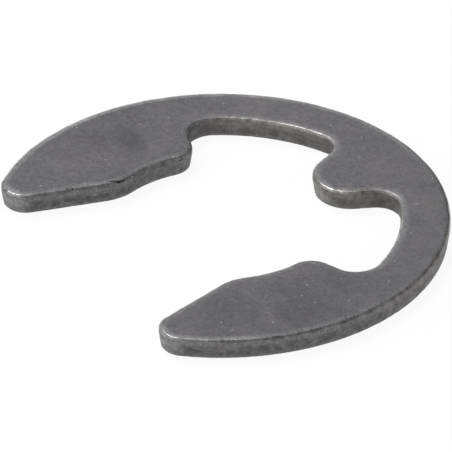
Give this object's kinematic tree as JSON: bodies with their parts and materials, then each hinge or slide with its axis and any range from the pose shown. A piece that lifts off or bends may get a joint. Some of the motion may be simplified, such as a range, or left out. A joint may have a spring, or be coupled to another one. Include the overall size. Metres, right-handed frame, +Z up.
{
  "type": "e clip",
  "caption": "Flat E-shaped external retaining ring that snaps sideways into a shaft groove and is held by inward prongs.",
  "frame": {"origin": "on the axis of the shaft that the clip is sprung on to, at the clip's underside", "axes": "+Z up along the shaft's axis, towards the face with rolled edges; the mouth opens towards -Y; +Y towards the centre prong; +X along the clip's width"},
  "size_m": [0.0376, 0.032, 0.0018],
  "materials": {
    "phosphated_steel": "dark grey phosphate coat over spring steel, lightly oiled: soft mottled satin faces, grainy sheared walls and brighter rolled edges"
  },
  "bodies": {
    "root": {"e_clip": "phosphated_steel"}
  },
  "joints": []
}
